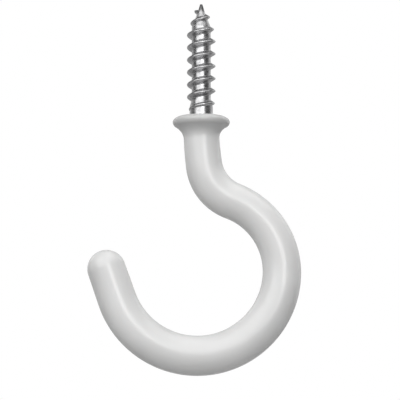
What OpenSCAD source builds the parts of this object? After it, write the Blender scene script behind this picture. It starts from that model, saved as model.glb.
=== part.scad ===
// Vinyl-dipped screw hook.
// One bent steel wire with a rolled wood-screw thread and an upset collar, dipped in soft
// white vinyl from the collar down. Z is the screw's axis with the point up, the hook lies
// in the XZ plane, and the origin is the centre of the flange's flat seat.

/* [Screw] */
// Length of the screw above the seat, to the end of its point
screw_l = 15.35; // [13:0.05:22]
// Outside diameter of the thread
thread_d = 3.84; // [3.6:0.02:4.2]
// Diameter of the core between the turns of the thread
root_d = 2.54; // [2.3:0.02:2.8]
// Distance from one turn of the thread to the next
pitch = 1.69; // [1.5:0.01:2.2]
// Width of the thread's crest
crest_w = 0.2; // [0.16:0.02:0.3]
// Slope of each side of the thread, from square to the axis
flank_angle = 31; // [26:1:34]
// Length of the tapered point
point_l = 3.15; // [2.8:0.05:4]
// Length of the slimmer needle at the end of the point
needle_l = 1.15; // [0.8:0.05:1.5]
// Diameter where the needle begins
needle_d = 1; // [0.8:0.05:1.2]
// Diameter of the blunt end of the needle
point_d = 0.32; // [0.2:0.02:0.4]
// Length over which the thread narrows to the point
thread_taper_l = 4.05; // [3.8:0.05:4.6]
// Distance from the blunt end down to the first turn of the thread
thread_start = 0.85; // [0.6:0.05:1.1]
// Distance from the seat up to the end of the thread's run-out
runout_start = 0.35; // [0.35:0.05:0.6]
// Length over which the thread fades out above the seat
runout_l = 2.9; // [2.5:0.1:3.4]

/* [Wire] */
// Diameter of the wire, and of the plain shank above the seat
wire_d = 3.1; // [2.9:0.02:3.2]
// Length of the plain shank above the seat
shank_l = 1.3; // [1:0.1:1.6]
// Length of the cone between the shank and the thread's core
shank_cone_l = 1.1; // [0.8:0.1:1.5]
// Diameter of the upset collar that carries the seat
collar_d = 6; // [5:0.1:6.2]
// Thickness of the collar
collar_h = 0.8; // [0.6:0.05:0.9]
// How far the wire runs on past the centre of the domed tip
wire_over = 0.5; // [0.2:0.1:0.8]

/* [Bends] */
// Straight length below the seat
neck_l = 1; // [0.5:0.1:2]
// Radius of the slow lean that starts the neck, at the wire's middle
lean_r = 41; // [36:0.5:46]
// Turn of the slow lean, in degrees
lean_turn = 7.8; // [7:0.1:9]
// Radius of the tight bend out of the neck
neck_r = 6.05; // [5.6:0.05:6.6]
// Turn of the tight bend
neck_turn = 61; // [59:0.1:63]
// Radius of the hook over its shoulder
shoulder_r = 10.2; // [9.8:0.05:11]
// Turn of the shoulder
shoulder_turn = 76.4; // [74:0.1:79]
// Radius of the hook round its bowl
bowl_r = 11.25; // [10.8:0.05:12]
// Turn of the bowl
bowl_turn = 153; // [149:0.1:156]
// Straight length before the tip
tip_l = 4.25; // [3:0.05:6]

/* [Coat] */
// Diameter of the coat just below the flange
coat_d = 4.7; // [4.6:0.05:5]
// Growth of the coat's radius for each millimetre below the seat, as the vinyl drained
drain = 0.0095; // [0.005:0.0005:0.012]
// Extra thickness held in the tight bend
bend_fill = 0.07; // [0:0.01:0.1]
// Diameter of the flange
rim_d = 7.62; // [7.4:0.02:8]
// Diameter of the flat seat on top of the flange
seat_d = 5.14; // [4.8:0.02:5.4]
// Depth of the flange's rounded top edge
rim_top_h = 0.74; // [0.6:0.02:0.8]
// Depth of the flange's rounded lower edge
rim_low_h = 0.62; // [0.5:0.02:0.7]
// Width of the flange's rounded lower edge
rim_low_w = 0.57; // [0.5:0.01:0.65]
// Depth of the trumpet under the flange
trumpet_h = 1.8; // [1.6:0.1:2.2]
// Depth of the vinyl between the seat and the collar
seat_skin = 0.45; // [0.4:0.05:0.55]
// Diameter of the shallow relief in the seat round the screw, which clears the thread
relief_d = 4; // [3.9:0.05:4.2]
// Depth of the relief where it meets the shank
relief_h = 0.25; // [0.15:0.05:0.3]

/* [Hidden] */

$fn = 64;
wire_r = wire_d / 2;
root_r = root_d / 2;
crest_r = thread_d / 2;

// The wire's middle line below the seat: one [length, turn] for each straight or bend,
// with a turn towards +X counted positive
function arc_l(r, turn) = r * abs(turn) * PI / 180;
LEGS = [
    [neck_l, 0],
    [arc_l(lean_r, lean_turn), lean_turn],
    [arc_l(neck_r, neck_turn), neck_turn],
    [arc_l(shoulder_r, shoulder_turn), -shoulder_turn],
    [arc_l(bowl_r, bowl_turn), -bowl_turn],
    [tip_l, 0],
];

// A pose is [x, z, heading]. This is the pose a distance d into a leg that starts at pose p
function ahead(p, leg, d) =
    let (h = p[2], bend = leg[1] / leg[0])
    bend == 0 ? [p[0] + d * cos(h), p[1] + d * sin(h), h]
    : let (r = 180 / (PI * bend), k = h + bend * d)
      [p[0] + r * (sin(k) - sin(h)), p[1] - r * (cos(k) - cos(h)), k];

// Pose and distance along the line at the start of leg i
function leg_pose(i) = i == 0 ? [0, 0, -90] : ahead(leg_pose(i - 1), LEGS[i - 1], LEGS[i - 1][0]);
function leg_start(i) = i == 0 ? 0 : leg_start(i - 1) + LEGS[i - 1][0];
LAST = len(LEGS) - 1;
POSES = [for (i = [0:LAST + 1]) leg_pose(i)];
STARTS = [for (i = [0:LAST + 1]) leg_start(i)];
LINE_L = STARTS[LAST + 1];

// Pose at distance s along the line, which runs straight on past the end
function leg_at(s, i = 0) = i < LAST && s > STARTS[i + 1] ? leg_at(s, i + 1) : i;
function pose_at(s) = let (i = leg_at(s)) ahead(POSES[i], LEGS[i], s - STARTS[i]);

// Distances along the line at which a swept tube has a ring: every joint, and every few
// degrees of each bend
function stops(degrees) = [
    for (i = [0:LAST])
        let (n = ceil(max(1, abs(LEGS[i][1]) / degrees)))
        for (k = [0:n - 1])
            STARTS[i] + LEGS[i][0] * k / n,
    LINE_L];

// A tube swept along the line: one ring of points for each [distance, radius] in stations,
// then a cap, which comes to a point past the end where pole_s is given
function ring(s, r, sides) =
    let (p = pose_at(s))
    [for (k = [0:sides - 1])
        let (a = 360 * k / sides)
        [p[0] - r * cos(a) * sin(p[2]), r * sin(a), p[1] + r * cos(a) * cos(p[2])]];
module sweep(stations, sides, pole_s) {
    count = len(stations);
    end = pose_at(is_undef(pole_s) ? stations[count - 1][0] : pole_s);
    pole = count * sides;
    points = [for (q = stations) each ring(q[0], q[1], sides), [end[0], 0, end[1]]];
    faces = [
        [for (k = [sides - 1:-1:0]) k],
        for (i = [0:count - 2], k = [0:sides - 1])
            let (a = i * sides + k, b = i * sides + (k + 1) % sides)
            each [[a, b + sides, a + sides], [a, b, b + sides]],
        for (k = [0:sides - 1])
            [pole - sides + k, pole - sides + (k + 1) % sides, pole]];
    polyhedron(points, faces);
}

// ---- steel ----

// The wire from the collar to its end, with the plain shank above the seat. The bent
// length starts inside the collar
WIRE_SIDES = 24;
WIRE_RING_EVERY = 6;
module bent_wire() {
    wire_start = seat_skin + collar_h / 2;
    sweep([
        [wire_start, wire_r],
        for (s = stops(WIRE_RING_EVERY)) if (s > wire_start) [s, wire_r],
        [LINE_L + wire_over, wire_r]], WIRE_SIDES);
    translate([0, 0, -seat_skin - collar_h])
        cylinder(h = collar_h, d = collar_d);
    translate([0, 0, -wire_start])
        cylinder(h = wire_start + shank_l, r = wire_r);
}

// Core of the screw: shank cone, threaded length, then the point in two tapers
module screw_core() {
    taper_z = screw_l - point_l;
    translate([0, 0, shank_l])
        cylinder(h = shank_cone_l, r1 = wire_r, r2 = root_r);
    translate([0, 0, shank_l + shank_cone_l])
        cylinder(h = taper_z - shank_l - shank_cone_l, r = root_r);
    translate([0, 0, taper_z])
        cylinder(h = point_l - needle_l, r1 = root_r, d2 = needle_d);
    translate([0, 0, screw_l - needle_l])
        cylinder(h = needle_l, d1 = needle_d, d2 = point_d);
}

// Radius of the core at height z
function core_r(z) =
    z < shank_l + shank_cone_l ? root_r
    : lookup(z, [
        [screw_l - point_l, root_r],
        [screw_l - needle_l, needle_d / 2],
        [screw_l, point_d / 2]]);

// Radius of the thread's crest at height z: it sinks just below the shank's surface at the
// foot of its run-out, and tapers to the point above. In between it stands a hair proud, and
// is turned to its true diameter
PROUD = 0.01;
RUNOUT_SINK = 0.06;
CREST_SLOPE = 0.317;
function fade(z) = pow(max(0, 1 - (z - runout_start) / runout_l), 2);
function ridge_r(z) =
    let (full = crest_r + PROUD)
    min(full - (full - wire_r + RUNOUT_SINK) * fade(z),
        full - CREST_SLOPE * (z - screw_l + thread_taper_l));

// Right-hand ridge: sections of four points, each in its own plane through the axis
RIDGE_STEP = 14.7;
RIDGE_SINK = 0.14;
RIDGE_PHASE = 0.13;
function ridge_angle(z) = 360 * (z - RIDGE_PHASE) / pitch;
module ridge() {
    first = ridge_angle(runout_start);
    steps = floor((ridge_angle(screw_l - thread_start) - first) / RIDGE_STEP);
    spread = tan(flank_angle);
    points = [for (k = [0:steps])
        let (a = first + k * RIDGE_STEP,
             z = RIDGE_PHASE + pitch * a / 360,
             top = ridge_r(z),
             foot = core_r(z) - RIDGE_SINK,
             half_foot = crest_w / 2 + (top - foot) * spread)
        each [
            [foot * cos(a), foot * sin(a), z - half_foot],
            [top * cos(a), top * sin(a), z - crest_w / 2],
            [top * cos(a), top * sin(a), z + crest_w / 2],
            [foot * cos(a), foot * sin(a), z + half_foot]]];
    faces = [
        [3, 2, 1, 0],
        for (k = [0:steps - 1], j = [0:3])
            let (a = 4 * k + j, b = 4 * k + (j + 1) % 4)
            each [[a, b + 4, a + 4], [a, b, b + 4]],
        [for (j = [0:3]) 4 * steps + j]];
    polyhedron(points, faces);
}

module steel_hook() {
    color("silver") {
        bent_wire();
        screw_core();
        intersection() {
            ridge();
            cylinder(h = screw_l, r = crest_r);
        }
    }
}

// ---- vinyl ----

// Radius of the coat on the wire at distance s along the line
BEND_MIDDLE = STARTS[2] + LEGS[2][0] / 2;
BEND_REACH = 3.2;
function coat_r(s) =
    coat_d / 2 - drain * pose_at(s)[1] + bend_fill * exp(-pow((s - BEND_MIDDLE) / BEND_REACH, 2));

// Flange: rounded top edge, rounded lower edge, then a trumpet that runs out on the neck.
// Each entry is [depth below the seat, radius]
TRUMPET_POWER = 2.5;
LOW_EDGE_END = 72;
TOP_EDGE_STEP = 15;
LOW_EDGE_STEP = 18;
TRUMPET_STEPS = 8;
trumpet_top = rim_top_h + rim_low_h * sin(LOW_EDGE_END);
trumpet_r = rim_d / 2 - rim_low_w * (1 - cos(LOW_EDGE_END));
trumpet_end = trumpet_top + trumpet_h;
FLANGE = [
    for (a = [0:TOP_EDGE_STEP:90])
        [rim_top_h * (1 - cos(a)), seat_d / 2 + (rim_d - seat_d) / 2 * sin(a)],
    for (a = [LOW_EDGE_STEP:LOW_EDGE_STEP:LOW_EDGE_END])
        [rim_top_h + rim_low_h * sin(a), rim_d / 2 - rim_low_w * (1 - cos(a))],
    for (k = [1:TRUMPET_STEPS - 1])
        let (t = k / TRUMPET_STEPS, s = trumpet_top + trumpet_h * t, r = coat_r(s))
        [s, r + (trumpet_r - r) * pow(1 - t, TRUMPET_POWER)],
];

// Plain stretch of the coat, then the dome round the end of the line
COAT_SIDES = 32;
COAT_RING_EVERY = 4;
DOME_STEP = 12;
TUBE = [
    [trumpet_end, coat_r(trumpet_end)],
    for (s = stops(COAT_RING_EVERY)) if (s > trumpet_end) [s, coat_r(s)]];
tip_r = coat_r(LINE_L);
DOME = [for (a = [DOME_STEP:DOME_STEP:90 - DOME_STEP / 2]) [LINE_L + tip_r * sin(a), tip_r * cos(a)]];
SKIN = concat(FLANGE, TUBE, DOME);

// Shallow cone round the shank, from the seat down to where it meets the wire, and on past
// both ends by a little
RELIEF_SPARE = 0.05;
module seat_relief() {
    spread = (relief_d / 2 - wire_r) / relief_h;
    translate([0, 0, -relief_h - RELIEF_SPARE])
        cylinder(
            h = relief_h + 2 * RELIEF_SPARE,
            r1 = wire_r - spread * RELIEF_SPARE,
            r2 = relief_d / 2 + spread * RELIEF_SPARE);
}

module vinyl_coat() {
    color("whitesmoke")
        difference() {
            sweep(SKIN, COAT_SIDES, LINE_L + tip_r);
            bent_wire();
            seat_relief();
        }
}

steel_hook();
vinyl_coat();
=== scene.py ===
"""Looks for a vinyl-dipped screw hook: a plated steel wire with a wood-screw thread, and its
white dip coat. Shapes are worked out in millimetres and built in metres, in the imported
model's own frame: Z is the screw's axis, and the origin is the middle of the flange's seat."""

import math

import bmesh
import bpy
import numpy as np
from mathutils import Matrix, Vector


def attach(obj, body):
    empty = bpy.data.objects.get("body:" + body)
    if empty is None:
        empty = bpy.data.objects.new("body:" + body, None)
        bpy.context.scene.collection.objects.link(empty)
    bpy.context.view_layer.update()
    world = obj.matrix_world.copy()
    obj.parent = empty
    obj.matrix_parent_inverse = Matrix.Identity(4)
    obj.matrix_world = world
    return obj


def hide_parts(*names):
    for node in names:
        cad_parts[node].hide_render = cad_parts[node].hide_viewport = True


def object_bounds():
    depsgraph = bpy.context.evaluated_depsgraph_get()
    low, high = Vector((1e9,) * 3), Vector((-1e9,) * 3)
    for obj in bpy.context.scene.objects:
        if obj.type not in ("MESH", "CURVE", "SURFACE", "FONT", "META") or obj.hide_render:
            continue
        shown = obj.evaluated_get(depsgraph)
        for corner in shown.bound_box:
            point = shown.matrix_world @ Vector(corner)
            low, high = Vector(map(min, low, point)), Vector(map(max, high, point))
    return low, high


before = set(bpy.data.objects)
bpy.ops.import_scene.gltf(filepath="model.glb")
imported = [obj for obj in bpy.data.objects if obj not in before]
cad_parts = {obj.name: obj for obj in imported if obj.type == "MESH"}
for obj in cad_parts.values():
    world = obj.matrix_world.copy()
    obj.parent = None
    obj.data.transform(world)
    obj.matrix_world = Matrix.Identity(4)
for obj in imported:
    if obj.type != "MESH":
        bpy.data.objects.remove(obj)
cad_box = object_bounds()

MM = 0.001

# ---- driving dimensions, in millimetres and degrees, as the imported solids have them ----

SCREW_L = 15.35
CREST_R = 1.92
ROOT_R = 1.27
PITCH = 1.69
CREST_W = 0.2
FLANK = 31.0
POINT_L, NEEDLE_L, NEEDLE_R, POINT_R = 3.15, 1.15, 0.5, 0.16
THREAD_TAPER_L, CREST_SLOPE = 4.05, 0.317
THREAD_START = 0.85
RUNOUT_START, RUNOUT_L = 0.35, 2.9
RIDGE_PHASE = 0.13
WIRE_R = 1.55
SHANK_L, SHANK_CONE_L = 1.3, 1.1
COLLAR_R, COLLAR_H = 3.0, 0.8
WIRE_OVER = 0.5

NECK_L, TIP_L = 1.0, 4.25
BENDS = [(41.0, 7.8), (6.05, 61.0), (10.2, -76.4), (11.25, -153.0)]

COAT_R, DRAIN, BEND_FILL, BEND_REACH = 2.35, 0.0095, 0.07, 3.2
RIM_R, SEAT_R = 3.81, 2.57
RIM_TOP_H, RIM_LOW_H, RIM_LOW_W = 0.74, 0.62, 0.57
TRUMPET_H, TRUMPET_POWER, LOW_EDGE_END = 1.8, 2.5, 72.0
SEAT_SKIN = 0.45
RELIEF_R, RELIEF_H = 2.0, 0.25

# Small roundings that only the finer pieces have
CREST_ROUND, ROOT_ROUND = 0.16, 0.07
RIDGE_END_L, RIDGE_END_DROP = 0.12, 2.0
RUNOUT_DEPTH = 0.06
COLLAR_EDGE, WIRE_END_EDGE = 0.06, 0.25


# ---- the wire's middle line ----

class Line:
    """Straights and bends in the XZ plane, from the seat's middle down to the tip."""

    def __init__(self):
        legs = [(NECK_L, 0.0)]
        legs += [(r * math.radians(abs(turn)), math.radians(turn)) for r, turn in BENDS]
        legs.append((TIP_L, 0.0))
        self.legs = legs
        self.starts = [0.0]
        self.poses = [(0.0, 0.0, -math.pi / 2)]
        for length, turn in legs:
            self.poses.append(self.ahead(self.poses[-1], length, turn, length))
            self.starts.append(self.starts[-1] + length)
        self.length = self.starts[-1]

    @staticmethod
    def ahead(pose, length, turn, distance):
        x, z, heading = pose
        if turn == 0.0:
            return x + distance * math.cos(heading), z + distance * math.sin(heading), heading
        radius = length / turn
        new = heading + distance / radius
        return (x + radius * (math.sin(new) - math.sin(heading)),
                z - radius * (math.cos(new) - math.cos(heading)), new)

    def at(self, s):
        leg = 0
        while leg < len(self.legs) - 1 and s > self.starts[leg + 1]:
            leg += 1
        length, turn = self.legs[leg]
        return self.ahead(self.poses[leg], length, turn, s - self.starts[leg])


LINE = Line()


def ring(s, radius, sides):
    """Points round the line at distance s. radius is a number, or one for each point."""
    x, z, heading = LINE.at(s)
    a = np.linspace(0, 2 * np.pi, sides, endpoint=False)
    out = radius * np.cos(a)
    return np.column_stack([x - out * math.sin(heading), radius * np.sin(a),
                            z + out * math.cos(heading)])


# ---- mesh building ----

def ring_faces(first, second, sides):
    """Quads between two rings that start at these two vertex numbers, second further along."""
    k = np.arange(sides)
    n = (k + 1) % sides
    return np.column_stack([first + k, first + n, second + n, second + k]).tolist()


def make_piece(name, points, faces):
    """A smooth-shaded mesh object from points in millimetres, with doubled points merged."""
    mesh = bpy.data.meshes.new(name)
    mesh.from_pydata((np.asarray(points) * MM).tolist(), [], faces)
    bm = bmesh.new()
    bm.from_mesh(mesh)
    bmesh.ops.remove_doubles(bm, verts=bm.verts, dist=1e-8)
    bmesh.ops.dissolve_degenerate(bm, edges=bm.edges, dist=1e-8)
    bmesh.ops.recalc_face_normals(bm, faces=bm.faces)
    bm.to_mesh(mesh)
    bm.free()
    mesh.shade_smooth()
    piece = bpy.data.objects.new(name, mesh)
    bpy.context.collection.objects.link(piece)
    return piece


# ---- steel ----

THREAD_SIDES = 96
THREAD_LOW = 0.3
BURIED_RINGS = 150
# Places across one turn of the thread, from one middle of the root to the next, closer
# together at the foot, the flanks and the crest's edges
ACROSS = [0.0, 0.07, 0.14, 0.19, 0.22, 0.25, 0.28, 0.32, 0.36, 0.40, 0.425, 0.44, 0.455, 0.48,
          0.5, 0.52, 0.545, 0.56, 0.575, 0.60, 0.64, 0.68, 0.72, 0.75, 0.78, 0.81, 0.86, 0.93]


def soft_min(a, b, reach):
    """The lower of two values, rounded where they come within reach of each other."""
    h = np.clip(0.5 + 0.5 * (b - a) / reach, 0, 1)
    return b * (1 - h) + a * h - reach * h * (1 - h)


def soft_max(a, b, reach):
    return -soft_min(-a, -b, reach)


def core_radius(z):
    """The screw's radius without its thread."""
    heights = [SHANK_L, SHANK_L + SHANK_CONE_L, SCREW_L - POINT_L, SCREW_L - NEEDLE_L, SCREW_L]
    return np.interp(z, heights, [WIRE_R, ROOT_R, ROOT_R, NEEDLE_R, POINT_R])


def crest_radius(z):
    """The thread's outer radius, which sinks into the shank below and the point above."""
    fade = np.maximum(0, 1 - (z - RUNOUT_START) / RUNOUT_L) ** 2
    low = CREST_R - (CREST_R - WIRE_R + RUNOUT_DEPTH) * fade
    return np.minimum(low, CREST_R - CREST_SLOPE * (z - SCREW_L + THREAD_TAPER_L))


def threaded_rows():
    """The screw as rows of points that climb with the thread, one row for each place in ACROSS
    on each turn. Rows that would pass the ends are held there, and merge."""
    k = np.arange(THREAD_SIDES) / THREAD_SIDES
    angle = 2 * np.pi * k
    first_turn = math.floor((THREAD_LOW - RIDGE_PHASE) / PITCH) - 2
    last_turn = math.ceil((SCREW_L - RIDGE_PHASE) / PITCH) + 1
    rows = []
    for turn in range(first_turn, last_turn + 1):
        for place in ACROSS:
            z = RIDGE_PHASE + PITCH * (turn + place - 0.5 + k)
            aside = abs(place - 0.5) * PITCH
            z = np.clip(z, THREAD_LOW, SCREW_L)
            crest = crest_radius(z)
            past_end = np.clip((z - (SCREW_L - THREAD_START)) / RIDGE_END_L, 0, 1)
            flank = crest - (aside - CREST_W / 2) / math.tan(math.radians(FLANK))
            ridge = soft_min(crest, flank, CREST_ROUND) - past_end * RIDGE_END_DROP
            radius = soft_max(core_radius(z), ridge, ROOT_ROUND)
            radius = np.where(z >= SCREW_L, POINT_R, radius)
            radius = np.where(z <= THREAD_LOW, WIRE_R, radius)
            rows.append(np.column_stack([radius * np.cos(angle), radius * np.sin(angle), z]))
    return rows


def buried_stations():
    """Distances and radii along the part of the wire that the coat hides, from the collar's top
    to the cut end."""
    top, low = SEAT_SKIN, SEAT_SKIN + COLLAR_H
    end = LINE.length + WIRE_OVER
    stations = [(top, WIRE_R), (top, COLLAR_R - COLLAR_EDGE), (top + COLLAR_EDGE, COLLAR_R),
                (low - COLLAR_EDGE, COLLAR_R), (low, COLLAR_R - COLLAR_EDGE)]
    stations += [(s, WIRE_R) for s in np.linspace(low, end - WIRE_END_EDGE, BURIED_RINGS)]
    stations.append((end, WIRE_R - WIRE_END_EDGE))
    return stations


def build_steel():
    rows = threaded_rows()
    per_turn = len(ACROSS)
    sides = THREAD_SIDES
    points = np.concatenate(rows)
    faces = []
    last = len(rows) - 1
    for j in range(last):
        for k in range(sides):
            if k < sides - 1:
                quad = [j * sides + k, j * sides + k + 1, (j + 1) * sides + k + 1, (j + 1) * sides + k]
            else:
                a, b = min(j + per_turn, last), min(j + 1 + per_turn, last)
                quad = [j * sides + k, a * sides, b * sides, (j + 1) * sides + k]
            faces.append(quad)
    top = last * sides
    faces.append([top + k for k in range(sides)])

    # Plain shank, collar and bent wire, ring by ring from the thread's foot to the cut end
    stations = [(-THREAD_LOW, WIRE_R)] + buried_stations()
    start = len(points)
    rings = [ring(s, r, sides) for s, r in stations]
    points = np.concatenate([points] + rings)
    for i in range(len(rings) - 1):
        faces += ring_faces(start + i * sides, start + (i + 1) * sides, sides)
    foot = start + (len(rings) - 1) * sides
    faces.append([foot + k for k in reversed(range(sides))])
    return make_piece("steel_wire_hook", points, faces)


# ---- vinyl ----

COAT_SIDES = 96
COAT_RINGS = 300
RIM_TOP_STEPS, RIM_LOW_STEPS, TRUMPET_STEPS, TIP_STEPS = 15, 12, 24, 22
TIGHT_BEND = 2


def coat_radius(s):
    """The coat's radius, a little thicker lower down and round the tight bend."""
    middle = LINE.starts[TIGHT_BEND] + LINE.legs[TIGHT_BEND][0] / 2
    z = LINE.at(s)[1]
    return COAT_R - DRAIN * z + BEND_FILL * math.exp(-((s - middle) / BEND_REACH) ** 2)


def flange_stations():
    """Distances and radii from the seat's edge, round the rim and down the trumpet."""
    for a in np.radians(np.linspace(0, 90, RIM_TOP_STEPS)):
        yield RIM_TOP_H * (1 - math.cos(a)), SEAT_R + (RIM_R - SEAT_R) * math.sin(a)
    for a in np.radians(np.linspace(0, LOW_EDGE_END, RIM_LOW_STEPS)[1:]):
        yield RIM_TOP_H + RIM_LOW_H * math.sin(a), RIM_R - RIM_LOW_W * (1 - math.cos(a))
    low = math.radians(LOW_EDGE_END)
    top = RIM_TOP_H + RIM_LOW_H * math.sin(low)
    wide = RIM_R - RIM_LOW_W * (1 - math.cos(low))
    for t in np.linspace(0, 1, TRUMPET_STEPS)[1:]:
        s = top + TRUMPET_H * t
        r = coat_radius(s)
        yield s, r + (wide - r) * (1 - t) ** TRUMPET_POWER


def build_coat():
    sides = COAT_SIDES
    outer = list(flange_stations())
    start = outer[-1][0]
    outer += [(s, coat_radius(s)) for s in np.linspace(start, LINE.length, COAT_RINGS)[1:]]
    tip = coat_radius(LINE.length)
    outer += [(LINE.length + tip * math.sin(a), tip * math.cos(a))
              for a in np.radians(np.linspace(0, 90, TIP_STEPS)[1:-1])]
    # The hollow that the wire and its collar fill, from its end back up to the seat
    inner = buried_stations()[::-1] + [(RELIEF_H, WIRE_R), (0.0, RELIEF_R)]
    stations = inner + outer
    rings = [ring(s, r, sides) for s, r in stations]
    points = np.concatenate(rings)
    faces = []
    for i in range(len(rings) - 1):
        faces += ring_faces(i * sides, (i + 1) * sides, sides)
    faces.append(list(reversed(range(sides))))
    x, z = LINE.at(LINE.length + tip)[:2]
    points = np.vstack([points, [x, 0, z]])
    last, pole = (len(rings) - 1) * sides, len(points) - 1
    faces += [[last + k, last + (k + 1) % sides, pole] for k in range(sides)]
    return make_piece("vinyl_dip_coat", points, faces)


# ---- materials ----

# The range that most of a noise lies in
NOISE_MIDDLE = (0.35, 0.65)
# Heights between which the coat darkens towards the flange as painted shade, and the needle's end
# changes its tone
FLANGE_SHADE_HEIGHTS = (-3.4, -1.2)
NEEDLE_TINT = (SCREW_L - 1.3, SCREW_L - 0.5)


class Nodes:
    """A small helper for building a node material."""

    def __init__(self, name):
        self.material = bpy.data.materials.new(name)
        self.material.use_nodes = True
        self.tree = self.material.node_tree
        self.shader = self.tree.nodes["Principled BSDF"]

    def add(self, kind, **settings):
        node = self.tree.nodes.new(kind)
        for key, value in settings.items():
            setattr(node, key, value)
        return node

    def link(self, source, target):
        self.tree.links.new(source, target)

    def noise(self, scale, detail=3.0, stretch=(1, 1, 1)):
        where = self.add("ShaderNodeTexCoord")
        mapping = self.add("ShaderNodeMapping")
        mapping.inputs["Scale"].default_value = stretch
        self.link(where.outputs["Object"], mapping.inputs["Vector"])
        noise = self.add("ShaderNodeTexNoise")
        noise.inputs["Scale"].default_value = scale
        noise.inputs["Detail"].default_value = detail
        self.link(mapping.outputs["Vector"], noise.inputs["Vector"])
        return noise.outputs["Fac"]

    def ramp(self, source, low, high):
        """Maps the middle of a noise to the range low to high, which may be numbers or colours."""
        ramp = self.add("ShaderNodeValToRGB")
        for element, place, value in zip(ramp.color_ramp.elements, NOISE_MIDDLE, (low, high)):
            element.position = place
            element.color = (*value, 1) if hasattr(value, "__len__") else (value,) * 3 + (1,)
        self.link(source, ramp.inputs["Fac"])
        return ramp.outputs["Color"]

    def by_height(self, colour, heights, share):
        """The colour as it is below the first height, fading to a darker share of itself above
        the second."""
        low, high = heights
        where = self.add("ShaderNodeTexCoord")
        height = self.add("ShaderNodeSeparateXYZ")
        self.link(where.outputs["Object"], height.inputs["Vector"])
        fade = self.add("ShaderNodeMapRange", interpolation_type="SMOOTHSTEP")
        fade.inputs["From Min"].default_value = low * MM
        fade.inputs["From Max"].default_value = high * MM
        fade.inputs["To Min"].default_value = 1.0
        fade.inputs["To Max"].default_value = share
        self.link(height.outputs["Z"], fade.inputs["Value"])
        darker = self.add("ShaderNodeVectorMath", operation="SCALE")
        self.link(colour, darker.inputs["Vector"])
        self.link(fade.outputs["Result"], darker.inputs["Scale"])
        return darker.outputs["Vector"]

    def bump(self, source, strength, distance, under=None):
        bump = self.add("ShaderNodeBump")
        bump.inputs["Strength"].default_value = strength
        bump.inputs["Distance"].default_value = distance
        self.link(source, bump.inputs["Height"])
        if under is not None:
            self.link(under, bump.inputs["Normal"])
        return bump.outputs["Normal"]


def vinyl_material():
    m = Nodes("white_vinyl")
    cloud = m.ramp(m.noise(140.0, detail=2.0), (0.80, 0.80, 0.795), (0.84, 0.84, 0.835))
    # The coat is painted darker over the flange and its trumpet: painted shade, standing in for the
    # shade that falls there
    m.link(m.by_height(cloud, FLANGE_SHADE_HEIGHTS, 0.78), m.shader.inputs["Base Color"])
    m.link(m.ramp(m.noise(900.0), 0.19, 0.24), m.shader.inputs["Roughness"])
    ripple = m.bump(m.noise(420.0, detail=2.0), 0.25, 0.00004)
    skin = m.bump(m.noise(5200.0, detail=2.0), 0.12, 0.00001, under=ripple)
    m.link(skin, m.shader.inputs["Normal"])
    m.shader.inputs["Subsurface Weight"].default_value = 0.12
    m.shader.inputs["Subsurface Radius"].default_value = (1.0, 0.9, 0.85)
    m.shader.inputs["Subsurface Scale"].default_value = 0.0006
    return m.material


def steel_material():
    m = Nodes("plated_steel")
    m.shader.inputs["Metallic"].default_value = 1.0
    cloud = m.ramp(m.noise(1800.0, detail=4.0), (0.36, 0.36, 0.365), (0.50, 0.50, 0.505))
    # The nipped-off end of the needle has dull, bare metal
    m.link(m.by_height(cloud, NEEDLE_TINT, 0.25), m.shader.inputs["Base Color"])
    m.link(m.ramp(m.noise(2500.0), 0.24, 0.40), m.shader.inputs["Roughness"])
    drawn = m.bump(m.noise(2500.0, detail=3.0, stretch=(1, 1, 0.12)), 0.04, 0.00002)
    grit = m.bump(m.noise(9000.0, detail=2.0), 0.06, 0.000008, under=drawn)
    m.link(grit, m.shader.inputs["Normal"])
    return m.material


# ---- stage ----

FLOOR_DROP = 0.4
FLOOR_SIZE = 8.0
FLOOR_GREY, FLOOR_GLOW = 0.5, 0.5
AIM = Vector((-0.167, 0.0, -11.233)) * MM
VIEW_DISTANCE = 0.33
VIEW_ELEVATION = -8.0
LENS, SENSOR = 223.0, 36.0
AMBIENT = 0.10
# Each lamp: turn to the right, rise, distance, width, height, then watts
LAMPS = {
    "spark": (16.0, 8.0, 0.8, 0.30, 0.30, 1.0),
    "key": (-22.0, 37.0, 0.8, 1.30, 0.90, 6.5),
    "right": (80.0, 72.0, 0.8, 0.70, 0.70, 2.1),
    "rim_left": (-125.0, 20.0, 0.8, 0.80, 0.80, 0.6),
    "rim_right": (125.0, 20.0, 0.8, 0.80, 0.80, 1.0),
    "back": (180.0, 8.0, 0.8, 0.50, 0.50, 2.0),
}
# Grey flags, seen only in gloss: turn, rise, distance, width, height, then how bright they look
FLAGS = {
    "wall_left": (-88.0, 0.0, 0.95, 1.3, 3.4, 0.12),
    "wall_right": (76.0, 0.0, 0.95, 1.8, 3.4, 0.12),
    "wall_back": (180.0, -10.0, 1.0, 3.5, 2.1, 0.5),
    "wall_above": (0.0, 90.0, 0.95, 1.8, 2.6, 0.15),
    "wall_low": (0.0, -90.0, 0.36, 1.2, 1.2, 0.5),
}


def seen(tree):
    """1 for a ray that comes from the eye, straight or by way of gloss or glass, or else 0."""
    path = tree.nodes.new("ShaderNodeLightPath")
    most = path.outputs["Is Camera Ray"]
    for name in ("Is Glossy Ray", "Is Transmission Ray"):
        more = tree.nodes.new("ShaderNodeMath")
        more.operation = "MAXIMUM"
        tree.links.new(most, more.inputs[0])
        tree.links.new(path.outputs[name], more.inputs[1])
        most = more.outputs[0]
    return most


def scaled(tree, source, low, high):
    """A 0 to 1 value carried over to low to high."""
    level = tree.nodes.new("ShaderNodeMapRange")
    level.inputs["To Min"].default_value = low
    level.inputs["To Max"].default_value = high
    tree.links.new(source, level.inputs["Value"])
    return level.outputs["Result"]


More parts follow.
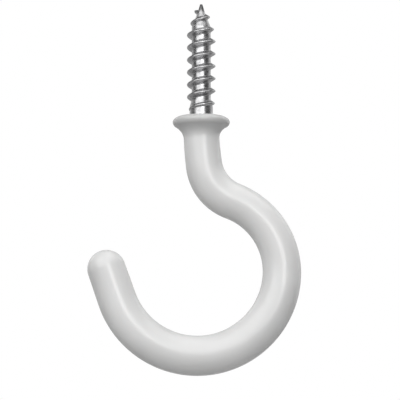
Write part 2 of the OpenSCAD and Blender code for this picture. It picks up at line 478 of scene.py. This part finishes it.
def floor_material(grey, glow):
    """A plain floor that looks paler than it is by its glow, and takes shadows."""
    m = Nodes("floor")
    tree = m.material.node_tree
    m.shader.inputs["Base Color"].default_value = (grey, grey, grey, 1)
    m.shader.inputs["Roughness"].default_value = 0.9
    m.shader.inputs["Emission Color"].default_value = (1, 1, 1, 1)
    tree.links.new(scaled(tree, seen(tree), 0.0, glow), m.shader.inputs["Emission Strength"])
    return m.material


def flag_material(grey):
    """Looks the same grey however it is lit."""
    m = Nodes("flag")
    m.shader.inputs["Base Color"].default_value = (0, 0, 0, 1)
    m.shader.inputs["Specular IOR Level"].default_value = 0.0
    m.shader.inputs["Emission Color"].default_value = (grey, grey, grey, 1)
    m.shader.inputs["Emission Strength"].default_value = 1.0
    return m.material


def card(name, centre, width, height, facing, material):
    """A flat stage card, its face turned to a point."""
    mesh = bpy.data.meshes.new(name)
    w, h = width / 2, height / 2
    mesh.from_pydata([(-w, -h, 0), (w, -h, 0), (w, h, 0), (-w, h, 0)], [], [(0, 1, 2, 3)])
    item = bpy.data.objects.new(name, mesh)
    bpy.context.collection.objects.link(item)
    item.location = centre
    item.rotation_mode = "QUATERNION"
    item.rotation_quaternion = (facing - centre).to_track_quat("Z", "Y")
    mesh.materials.append(material)
    return item


def soft_lamp(name, place, width, height, power):
    """A rectangular lamp turned to the point that the camera looks at."""
    data = bpy.data.lights.new(name, "AREA")
    data.shape = "RECTANGLE"
    data.size, data.size_y = width, height
    data.energy = power
    lamp = bpy.data.objects.new(name, data)
    bpy.context.collection.objects.link(lamp)
    lamp.location = place
    lamp.rotation_mode = "QUATERNION"
    lamp.rotation_quaternion = (AIM - place).to_track_quat("-Z", "Y")
    return lamp


def build_world(ambient):
    """White behind the object, to the eye and in its gloss, and a lower plain light on it."""
    world = bpy.data.worlds.new("studio")
    world.use_nodes = True
    bpy.context.scene.world = world
    tree = world.node_tree
    back = tree.nodes["Background"]
    back.inputs["Color"].default_value = (1, 1, 1, 1)
    tree.links.new(scaled(tree, seen(tree), ambient, 1.0), back.inputs["Strength"])


def around(turn, rise, distance):
    """A place round the hook: turn is to the right of the camera's side, rise is upwards."""
    t, r = math.radians(turn), math.radians(rise)
    out = Vector((math.sin(t) * math.cos(r), -math.cos(t) * math.cos(r), math.sin(r)))
    return AIM + out * distance


def build_stage():
    middle = Vector((0, 0, cad_box[0].z - FLOOR_DROP))
    up = middle + Vector((0, 0, 1))
    card("floor", middle, FLOOR_SIZE, FLOOR_SIZE, up, floor_material(FLOOR_GREY, FLOOR_GLOW))
    build_world(AMBIENT)
    for name, (turn, rise, distance, width, height, power) in LAMPS.items():
        lamp = soft_lamp(name, around(turn, rise, distance), width, height, power)
        # The lamp behind would show in the gloss along the outline
        lamp.visible_glossy = name != "back"
    for name, (turn, rise, distance, width, height, grey) in FLAGS.items():
        flag = card(name, around(turn, rise, distance), width, height, AIM, flag_material(grey))
        flag.visible_camera = False
        flag.visible_diffuse = False
        flag.visible_shadow = False
    elevation = math.radians(VIEW_ELEVATION)
    data = bpy.data.cameras.new("camera")
    data.sensor_width = SENSOR
    data.lens = LENS
    data.clip_start, data.clip_end = 0.01, 20.0
    camera = bpy.data.objects.new("camera", data)
    bpy.context.collection.objects.link(camera)
    back = Vector((0, -math.cos(elevation), math.sin(elevation)))
    camera.location = AIM + back * VIEW_DISTANCE
    camera.rotation_mode = "QUATERNION"
    camera.rotation_quaternion = (-back).to_track_quat("-Z", "Y")
    bpy.context.scene.camera = camera
    bpy.context.scene.view_settings.view_transform = "Standard"


# ---- the pieces, on their body ----

def dress(piece, node, material):
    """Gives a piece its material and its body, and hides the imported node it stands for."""
    piece.data.materials.append(material)
    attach(piece, "root")
    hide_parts(node)


build_stage()
dress(build_steel(), "steel_hook", steel_material())
dress(build_coat(), "vinyl_coat", vinyl_material())
